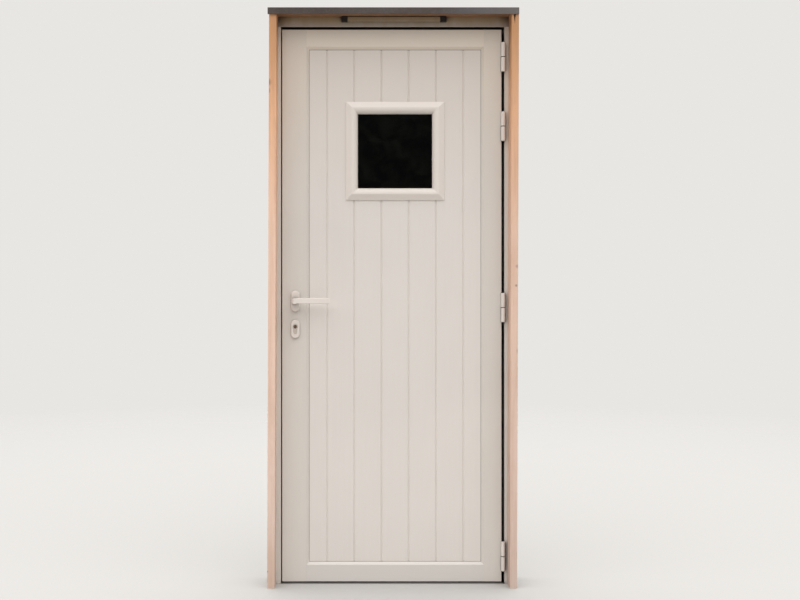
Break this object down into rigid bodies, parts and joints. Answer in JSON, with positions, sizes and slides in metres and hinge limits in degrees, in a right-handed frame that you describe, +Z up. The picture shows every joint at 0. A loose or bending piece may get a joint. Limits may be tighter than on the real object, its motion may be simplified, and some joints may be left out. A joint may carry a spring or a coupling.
{
  "type": "boarded external door",
  "caption": "Outward-opening boarded external door in its painted frame, with a small square window, lever lock, lift-off hinges, trickle vent, oak side boards and head flashing",
  "frame": {"origin": "on the floor, in the middle of the frame's opening, at the frame's outer face", "axes": "+X right seen from outside, +Y into the building, +Z up"},
  "size_m": [0.8904, 0.1905, 2.069],
  "materials": {
    "painted_boards": "satin warm off-white paint over fine vertical grain",
    "painted_timber": "satin warm off-white paint",
    "bare_softwood": "planed, unpainted",
    "oak": "planed pale oak, unfinished",
    "lead_grey_sheet": "matt dark grey coating",
    "painted_hardware": "satin off-white powder coat",
    "steel": "zinc-plated, satin",
    "brass": "machined, satin",
    "satin_nickel": "satin nickel plate",
    "threshold_aluminium": "mill finish extrusion",
    "black_rubber": "matt",
    "white_plastic": "matt moulded",
    "black_plastic": "matt moulded",
    "tinted_glass": "clear float glass, dark against an unlit room",
    "foam": "cut rigid foam"
  },
  "bodies": {
    "frame": {"jamb_lock_side": "painted_timber", "jamb_hinge_side": "painted_timber", "frame_head": "painted_timber", "frame_seal": "black_rubber", "threshold": "threshold_aluminium", "threshold_seal": "black_rubber", "trim_left": "oak", "trim_right": "oak", "trim_head": "oak", "head_flashing": "lead_grey_sheet", "vent_canopy": "painted_hardware", "vent_end_caps": "black_plastic", "vent_body": "white_plastic", "hinge_frame_halves": "painted_hardware", "hinge_pins": "steel", "hinge_washers": "black_plastic", "frame_screws": "steel", "strike_plate": "steel"},
    "leaf": {"outer_board_1": "painted_boards", "outer_board_2": "painted_boards", "outer_board_3": "painted_boards", "outer_board_4": "painted_boards", "outer_board_5": "painted_boards", "outer_board_6": "painted_boards", "outer_board_7": "painted_boards", "inner_boards": "painted_boards", "lock_stile": "painted_timber", "hinge_stile": "painted_timber", "top_rail": "painted_timber", "bottom_rail": "painted_timber", "insulation_core": "foam", "window_liner": "bare_softwood", "glass_panes": "tinted_glass", "glass_spacer": "threshold_aluminium", "glazing_tape": "black_rubber", "glazing_packers": "white_plastic", "outer_beads": "painted_timber", "inner_beads": "painted_timber", "hinge_leaf_halves": "painted_hardware", "leaf_screws": "steel", "lock_faceplate": "steel", "lock_case": "steel", "cylinder_body": "satin_nickel", "cylinder_screw": "steel", "outer_rose": "painted_hardware", "inner_rose": "painted_hardware", "outer_escutcheon": "painted_hardware", "inner_escutcheon": "painted_hardware"},
    "handle": {"outer_lever": "painted_hardware", "inner_lever": "painted_hardware", "spindle": "steel", "follower": "steel"},
    "latch": {"latch_bolt": "brass"},
    "bolt": {"deadbolt": "brass"},
    "key_plug": {"cylinder_plug": "satin_nickel"},
    "flap": {"vent_flap": "white_plastic"}
  },
  "joints": [
    {"name": "leaf_hinge", "type": "hinge", "parent": "frame", "child": "leaf", "pos_m": [0.397, -0.0075, 1], "axis": [0, 0, 1], "range_deg": [0, 95]},
    {"name": "lever_turn", "type": "hinge", "parent": "leaf", "child": "handle", "pos_m": [-0.35025, 0.029, 1.016], "axis": [0, 1, 0], "range_deg": [0, 45], "stiffness_Nm_per_rad": 1.5, "springref_deg": -22.92},
    {"name": "latch_slide", "type": "slide", "parent": "leaf", "child": "latch", "axis": [1, 0, 0], "range_m": [0, 0.012]},
    {"name": "plug_turn", "type": "hinge", "parent": "leaf", "child": "key_plug", "pos_m": [-0.35025, 0.029, 0.924], "axis": [0, 1, 0], "range_deg": [0, 360]},
    {"name": "bolt_slide", "type": "slide", "parent": "leaf", "child": "bolt", "axis": [-1, 0, 0], "range_m": [0, 0.02]},
    {"name": "flap_turn", "type": "hinge", "parent": "frame", "child": "flap", "pos_m": [0.004, 0.1095, 2.0195], "axis": [-1, 0, 0], "range_deg": [0, 40]}
  ],
  "couplings": [
    {"joint": "latch_slide", "follows": "lever_turn", "m_per_rad": 0.015278},
    {"joint": "plug_turn", "follows": "bolt_slide", "rad_per_m": 314.15}
  ]
}
